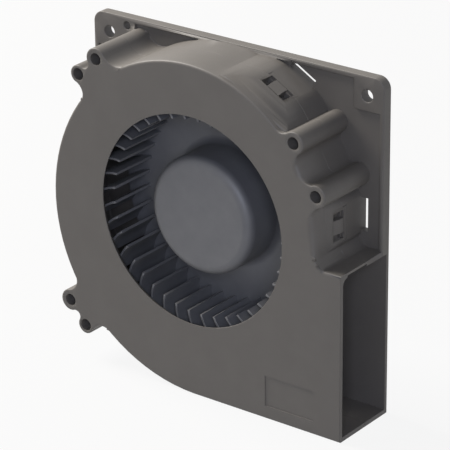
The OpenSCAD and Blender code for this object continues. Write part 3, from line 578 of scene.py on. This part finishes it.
# Stator core: a stack of stamped silicon steel sheets, half a millimetre each, pressed on the
# bearing tube. The sheets' edges show as grey bands with dark joints between them.
sheet_t = 0.5
lamination, tree, place = new_finish("stamped electrical steel")
parts = add(tree, "SeparateXYZ", Vector=place)
sheets = add(tree, "Math", {"operation": "DIVIDE"}, _0=parts["Y"], _1=sheet_t * MM)
within = add(tree, "Math", {"operation": "PINGPONG"}, _0=sheets[0], _1=0.5)
joint = add(tree, "MapRange", Value=within[0], From_Min=0.02, From_Max=0.1)
tone = add(tree, "ValToRGB", Fac=joint[0])
tree.nodes[-1].color_ramp.elements[0].color = linear("#4b4845")
tree.nodes[-1].color_ramp.elements[1].color = linear("#a3a19d")
relief = add(tree, "Bump", Height=joint[0], Strength=0.5, Distance=0.04 * MM)
finish_surface(
    tree, Base_Color=tone[0], Metallic=0.85, Roughness=0.45, Normal=relief[0]
)
dress(lamination, "stator_core")

# Slot insulators: two caps of moulded nylon that line the core from the front and the back and
# keep the wire off the steel.
dress(nylon, "front_insulator", "rear_insulator")

# Coils: enamelled copper wire, wound in three layers round each of the four poles. The turns lie
# close beside each other, and the enamel gives them a deep orange gloss.
coil_low, coil_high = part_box("coil_right")
wire_d = 0.42
layers = 3
pole_gap = 0.02
edge_t = 1.3
side_t = 1.8
corner_r = 0.3
corner_steps = 16
wire_steps = 8
coil_from = coil_low.x / MM - axis.x
coil_long = (coil_high.x - coil_low.x) / MM
turns = int(coil_long / wire_d)
pitch = (coil_long - wire_d) / (turns - 1)
hole_half_w = (coil_high.z - coil_low.z) / MM / 2 - side_t
hole_half_h = (coil_high.y - coil_low.y) / MM / 2 - edge_t
coil_middle_y = (coil_low.y + coil_high.y) / 2 / MM
rings = []
for layer in range(layers):
    out = pole_gap + wire_d * (layer + 0.5)
    for turn in range(turns):
        bpy.ops.mesh.primitive_torus_add(
            major_segments=corner_steps, minor_segments=wire_steps,
            major_radius=(corner_r + out) * MM, minor_radius=wire_d / 2 * MM,
            location=(0, 0, (wire_d / 2 + pitch * turn) * MM),
            rotation=(0, 0, math.pi / corner_steps)
        )
        ring = bpy.context.object
        bpy.ops.object.transform_apply(location=True, rotation=True, scale=False)
        for side, straight in ((0, hole_half_w - corner_r), (1, hole_half_h - corner_r)):
            for vertex in ring.data.vertices:
                vertex.co[side] += math.copysign(straight * MM, vertex.co[side])
        ring.select_set(False)
        rings.append(ring)
for ring in rings:
    ring.select_set(True)
bpy.context.view_layer.objects.active = rings[0]
bpy.ops.object.join()
first_coil = bpy.context.object
first_coil.select_set(False)
outward = Matrix.Rotation(math.radians(90), 4, "Y")
first_coil.data.transform(Matrix.Translation((coil_from * MM, coil_middle_y * MM, 0)) @ outward)
smooth(first_coil)
enamel, tree, place = new_finish("enamelled copper wire")
patch_w = 1.5 * MM
patches = add(tree, "TexNoise", Vector=place, Scale=1 / patch_w, Detail=3.0)
tone = add(tree, "ValToRGB", Fac=patches[0])
tree.nodes[-1].color_ramp.elements[0].position = 0.35
tree.nodes[-1].color_ramp.elements[0].color = linear("#a8562c")
tree.nodes[-1].color_ramp.elements[1].position = 0.65
tree.nodes[-1].color_ramp.elements[1].color = linear("#c06a38")
finish_surface(
    tree, Base_Color=tone[0], Metallic=0.9, Roughness=0.3, Coat_Weight=0.7, Coat_Roughness=0.12
)
for quarter, pole in enumerate(("right", "top", "left", "bottom")):
    coil = bpy.data.objects.new(pole + "_coil_winding", first_coil.data.copy())
    bpy.context.scene.collection.objects.link(coil)
    coil.data.transform(
        Matrix.Translation((axis.x * MM, 0, axis.z * MM))
        @ Matrix.Rotation(math.radians(-90 * quarter), 4, "Y")
    )
    finish_piece(coil, "housing", "copper", enamel, "coil_" + pole)
bpy.data.objects.remove(first_coil)

# Circuit board: glass-epoxy laminate under green solder resist, held on the coils' pins. The
# copper tracks show through the glossy resist as paler, slightly raised lines.
board, tree, place = new_finish("glass-epoxy board with solder resist")
track_pitch = 3.2 * MM
cells = add(
    tree, "TexVoronoi", {"feature": "DISTANCE_TO_EDGE"}, Vector=place, Scale=1 / track_pitch
)
track = add(tree, "MapRange", Value=cells[0], From_Min=0.09, From_Max=0.11)
tone = add(tree, "ValToRGB", Fac=track[0])
tree.nodes[-1].color_ramp.elements[0].color = linear("#2f6b45")
tree.nodes[-1].color_ramp.elements[1].color = linear("#1f5535")
relief = add(tree, "Bump", {"invert": True}, Height=track[0], Strength=0.4, Distance=0.035 * MM)
finish_surface(tree, Base_Color=tone[0], Roughness=0.32, Normal=relief[0], IOR=1.52)
dress(board, "circuit_board")

# Parts on the board: the driver, the Hall sensor and the resistors are moulded in black epoxy,
# the capacitor in yellow, and all are soldered on. The moulds leave a fine matt grain, drawn
# coarser than it is.
epoxy = moulded("moulded black epoxy", "#2b2b2e", "#242427", 0.5, 0.12, 0.01)
dress(epoxy, "driver_chip", "hall_sensor", "chip_resistors")
yellow_epoxy = moulded("moulded yellow epoxy", "#cf9433", "#c58a2d", 0.45, 0.12, 0.01)
dress(yellow_epoxy, "smoothing_capacitor")

# Terminal pins: tinned brass, pressed into the insulator and soldered into the board. The tin is
# silvery and slightly uneven.
tinned = turned("tinned brass", "#c9c8c3", 0.3, 0.25)
dress(tinned, "terminal_pins")

# Label: a plain disc of silver polyester film, glued over the motor's recess in the back. The film
# is satin, with fine rolled lines drawn coarser than they are.
film, tree, place = new_finish("silver polyester film")
stretch = 6
line_w = 0.3 * MM
stretched = add(tree, "Mapping", Vector=place, Scale=(1 / stretch, 1, 1))
rolled = add(tree, "TexNoise", Vector=stretched[0], Scale=1 / line_w, Detail=2.0)
gloss = add(
    tree, "MapRange", Value=rolled[0],
    From_Min=0.3, From_Max=0.7, To_Min=0.34, To_Max=0.46
)
relief = add(tree, "Bump", Height=rolled[0], Strength=0.15, Distance=0.01 * MM)
finish_surface(
    tree, Base_Color=linear("#bdbec0"), Metallic=0.6, Roughness=gloss[0], Normal=relief[0]
)
dress(film, "rear_label")

# Floor: a wide sheet of matt paper under the blower. It is white to the camera and in mirrors,
# keeps the blower's shadow, and throws little light back on it.
def white_share(tree):
    """1 for rays from the camera, a mirror or glass, and 0 for light on the blower."""
    seen = add(tree, "LightPath")
    mirrored = add(
        tree, "Math", {"operation": "MAXIMUM"},
        _0=seen["Is Glossy Ray"], _1=seen["Is Transmission Ray"]
    )
    return add(tree, "Math", {"operation": "MAXIMUM"}, _0=seen["Is Camera Ray"], _1=mirrored[0])[0]


floor_w = 6
shadow_share = 0.1
bpy.ops.mesh.primitive_plane_add(size=floor_w, location=(0, 0, 0))
floor = bpy.context.object
floor.name = "studio_floor"
floor.select_set(False)
paper = bpy.data.materials.new("matt white paper")
paper.use_nodes = True
tree = paper.node_tree
tree.nodes.clear()
matt = add(tree, "BsdfPrincipled", Base_Color=linear("#a8a8a8"), Roughness=0.9)
glow = add(tree, "Emission", Color=(1, 1, 1, 1), Strength=1.0)
white = add(tree, "Math", {"operation": "MULTIPLY"}, _0=white_share(tree), _1=1 - shadow_share)
mixed = add(tree, "MixShader", _0=white[0], _1=matt[0], _2=glow[0])
add(tree, "OutputMaterial", Surface=mixed[0])
floor.data.materials.append(paper)

# Room: a white backdrop behind the blower, and a dim, slightly blue room that lights it from all
# round.
world = bpy.data.worlds.new("studio")
bpy.context.scene.world = world
world.use_nodes = True
tree = world.node_tree
tree.nodes.clear()
backdrop = add(tree, "Background", Color=(1, 1, 1, 1), Strength=1.0)
room = add(tree, "Background", Color=(0.86, 0.92, 1, 1), Strength=0.05)
mixed = add(tree, "MixShader", _0=white_share(tree), _1=room[0], _2=backdrop[0])
add(tree, "OutputWorld", Surface=mixed[0])


# Lamps: a warm softbox high on the left, which grazes the front and gives the top its light, and
# a weaker, bluish one beside the camera.
def softbox(name, place, size, level, colour):
    """A square lamp that faces the blower. level is its light on a face turned straight to it."""
    light = bpy.data.lights.new(name, "AREA")
    away = Vector(place) - blower_middle
    light.energy = math.pi ** 2 * away.length_squared * level
    light.size = size
    light.color = colour
    lamp = bpy.data.objects.new(name, light)
    bpy.context.scene.collection.objects.link(lamp)
    lamp.location = place
    lamp.rotation_euler = away.to_track_quat("Z", "Y").to_euler()


blower_middle = (Vector(cad_box[0]) + Vector(cad_box[1])) / 2
softbox("key_softbox", (-0.8, -0.08, 0.86), 0.45, 1.8, (1, 0.96, 0.91))
softbox("fill_softbox", (0.9, -1.17, 0.7), 0.5, 0.4, (0.74, 0.8, 1))

bpy.context.scene.view_settings.view_transform = "Standard"
